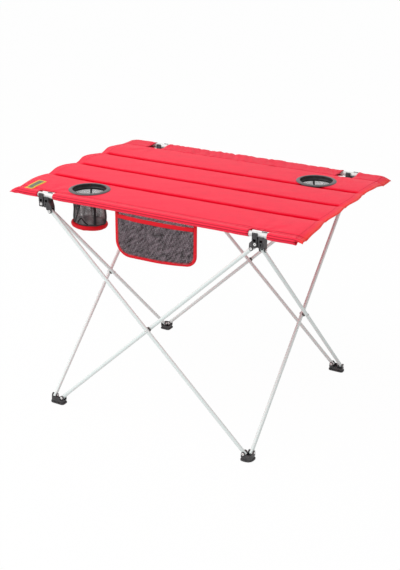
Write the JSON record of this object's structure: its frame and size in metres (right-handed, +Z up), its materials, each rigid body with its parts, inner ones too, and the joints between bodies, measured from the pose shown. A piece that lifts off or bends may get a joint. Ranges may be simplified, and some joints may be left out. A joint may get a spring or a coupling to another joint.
{
  "type": "folding camp table",
  "caption": "Folding camp table with a fabric top on poles, a scissor frame with hubs and feet, cup holders and a hanging mesh pocket.",
  "frame": {"origin": "on the floor under the middle of the table", "axes": "+X along the long side, -Y the front with the pocket, +Z up"},
  "size_m": [0.75, 0.5554, 0.5538],
  "materials": {
    "fabric": "woven polyester",
    "pole": "satin anodised",
    "leg": "satin anodised",
    "moulding": "moulded nylon",
    "ring": "moulded, slight sheen",
    "spacer": "moulded nylon",
    "rivet": "bright",
    "cup_mesh": "knitted mesh",
    "pocket_mesh": "knitted mesh",
    "binding": "woven tape and padding"
  },
  "bodies": {
    "front_left_hub": {"front_left_hub": "moulding", "front_left_hub_long_side_rivet": "rivet", "front_left_hub_short_side_rivet": "rivet"},
    "front_left_foot": {"front_left_foot": "moulding", "front_left_foot_long_side_rivet": "rivet", "front_left_foot_short_side_rivet": "rivet"},
    "front_right_hub": {"front_right_hub": "moulding", "front_right_hub_long_side_rivet": "rivet", "front_right_hub_short_side_rivet": "rivet"},
    "front_right_foot": {"front_right_foot": "moulding", "front_right_foot_long_side_rivet": "rivet", "front_right_foot_short_side_rivet": "rivet"},
    "rear_right_hub": {"rear_right_hub": "moulding", "rear_right_hub_long_side_rivet": "rivet", "rear_right_hub_short_side_rivet": "rivet"},
    "rear_right_foot": {"rear_right_foot": "moulding", "rear_right_foot_long_side_rivet": "rivet", "rear_right_foot_short_side_rivet": "rivet"},
    "rear_left_hub": {"rear_left_hub": "moulding", "rear_left_hub_long_side_rivet": "rivet", "rear_left_hub_short_side_rivet": "rivet"},
    "rear_left_foot": {"rear_left_foot": "moulding", "rear_left_foot_long_side_rivet": "rivet", "rear_left_foot_short_side_rivet": "rivet"},
    "front_leg_inner": {"front_leg_inner": "leg", "front_cross_rivet": "rivet", "front_cross_spacer": "spacer"},
    "front_leg_outer": {"front_leg_outer": "leg"},
    "right_leg_inner": {"right_leg_inner": "leg", "right_cross_rivet": "rivet", "right_cross_spacer": "spacer"},
    "right_leg_outer": {"right_leg_outer": "leg"},
    "rear_leg_outer": {"rear_leg_outer": "leg", "rear_cross_rivet": "rivet", "rear_cross_spacer": "spacer"},
    "rear_leg_inner": {"rear_leg_inner": "leg"},
    "left_leg_outer": {"left_leg_outer": "leg", "left_cross_rivet": "rivet", "left_cross_spacer": "spacer"},
    "left_leg_inner": {"left_leg_inner": "leg"},
    "tabletop": {"fabric_top": "fabric", "front_pole": "pole", "front_pole_left_cap": "moulding", "front_pole_right_cap": "moulding", "rear_pole": "pole", "rear_pole_left_cap": "moulding", "rear_pole_right_cap": "moulding", "front_left_cup_ring": "ring", "front_left_mesh_cup": "cup_mesh", "front_left_cup_base": "binding", "rear_right_cup_ring": "ring", "rear_right_mesh_cup": "cup_mesh", "rear_right_cup_base": "binding", "pocket_back_mesh": "pocket_mesh", "pocket_front_mesh": "pocket_mesh", "pocket_binding": "binding", "pocket_mouth_band": "binding"}
  },
  "joints": [
    {"name": "frame_fold", "type": "hinge", "parent": "front_left_foot", "child": "front_leg_inner", "pos_m": [-0.2565, -0.2568, 0.018], "axis": [0, -1, 0], "range_deg": [0, 41.2]},
    {"name": "front_cross", "type": "hinge", "parent": "front_leg_inner", "child": "front_leg_outer", "pos_m": [0, -0.2625, 0.264], "axis": [0, 1, 0], "range_deg": [0, 82.4]},
    {"name": "front_right_foot_turn", "type": "hinge", "parent": "front_leg_outer", "child": "front_right_foot", "pos_m": [0.2565, -0.2682, 0.018], "axis": [0, -1, 0], "range_deg": [0, 41.2]},
    {"name": "front_left_hub_turn", "type": "hinge", "parent": "front_leg_outer", "child": "front_left_hub", "pos_m": [-0.2565, -0.2682, 0.51], "axis": [0, -1, 0], "range_deg": [0, 41.2]},
    {"name": "front_right_hub_turn", "type": "hinge", "parent": "front_leg_inner", "child": "front_right_hub", "pos_m": [0.2565, -0.2568, 0.51], "axis": [0, 1, 0], "range_deg": [0, 41.2]},
    {"name": "right_leg_turn", "type": "hinge", "parent": "front_right_foot", "child": "right_leg_inner", "pos_m": [0.2693, -0.2565, 0.018], "axis": [1, 0, 0], "range_deg": [0, 41.2]},
    {"name": "right_cross", "type": "hinge", "parent": "right_leg_inner", "child": "right_leg_outer", "pos_m": [0.275, 0, 0.264], "axis": [-1, 0, 0], "range_deg": [0, 82.4]},
    {"name": "rear_right_foot_turn", "type": "hinge", "parent": "right_leg_outer", "child": "rear_right_foot", "pos_m": [0.2807, 0.2565, 0.018], "axis": [1, 0, 0], "range_deg": [0, 41.2]},
    {"name": "rear_right_hub_turn", "type": "hinge", "parent": "right_leg_inner", "child": "rear_right_hub", "pos_m": [0.2693, 0.2565, 0.51], "axis": [-1, 0, 0], "range_deg": [0, 41.2]},
    {"name": "left_leg_turn", "type": "hinge", "parent": "front_left_foot", "child": "left_leg_outer", "pos_m": [-0.2807, -0.2565, 0.018], "axis": [1, 0, 0], "range_deg": [0, 41.2]},
    {"name": "left_cross", "type": "hinge", "parent": "left_leg_outer", "child": "left_leg_inner", "pos_m": [-0.275, 0, 0.264], "axis": [-1, 0, 0], "range_deg": [0, 82.4]},
    {"name": "rear_left_foot_turn", "type": "hinge", "parent": "left_leg_inner", "child": "rear_left_foot", "pos_m": [-0.2693, 0.2565, 0.018], "axis": [1, 0, 0], "range_deg": [0, 41.2]},
    {"name": "rear_left_hub_turn", "type": "hinge", "parent": "left_leg_outer", "child": "rear_left_hub", "pos_m": [-0.2807, 0.2565, 0.51], "axis": [-1, 0, 0], "range_deg": [0, 41.2]},
    {"name": "rear_leg_turn", "type": "hinge", "parent": "rear_left_foot", "child": "rear_leg_outer", "pos_m": [-0.2565, 0.2682, 0.018], "axis": [0, -1, 0], "range_deg": [0, 41.2]},
    {"name": "rear_cross", "type": "hinge", "parent": "rear_leg_outer", "child": "rear_leg_inner", "pos_m": [0, 0.2625, 0.264], "axis": [0, 1, 0], "range_deg": [0, 82.4]},
    {"name": "top_lift", "type": "slide", "parent": "front_left_hub", "child": "tabletop", "axis": [0, 0, 1], "range_m": [0, 0.7315]}
  ],
  "couplings": [
    {"joint": "front_cross", "follows": "frame_fold", "ratio": 2},
    {"joint": "front_right_foot_turn", "follows": "frame_fold", "ratio": 1},
    {"joint": "front_left_hub_turn", "follows": "frame_fold", "ratio": 1},
    {"joint": "front_right_hub_turn", "follows": "frame_fold", "ratio": 1},
    {"joint": "right_leg_turn", "follows": "frame_fold", "ratio": 1},
    {"joint": "right_cross", "follows": "frame_fold", "ratio": 2},
    {"joint": "rear_right_foot_turn", "follows": "frame_fold", "ratio": 1},
    {"joint": "rear_right_hub_turn", "follows": "frame_fold", "ratio": 1},
    {"joint": "left_leg_turn", "follows": "frame_fold", "ratio": 1},
    {"joint": "left_cross", "follows": "frame_fold", "ratio": 2},
    {"joint": "rear_left_foot_turn", "follows": "frame_fold", "ratio": 1},
    {"joint": "rear_left_hub_turn", "follows": "frame_fold", "ratio": 1},
    {"joint": "rear_leg_turn", "follows": "frame_fold", "ratio": 1},
    {"joint": "rear_cross", "follows": "frame_fold", "ratio": 2},
    {"joint": "top_lift", "follows": "frame_fold", "m_per_rad": 1}
  ]
}
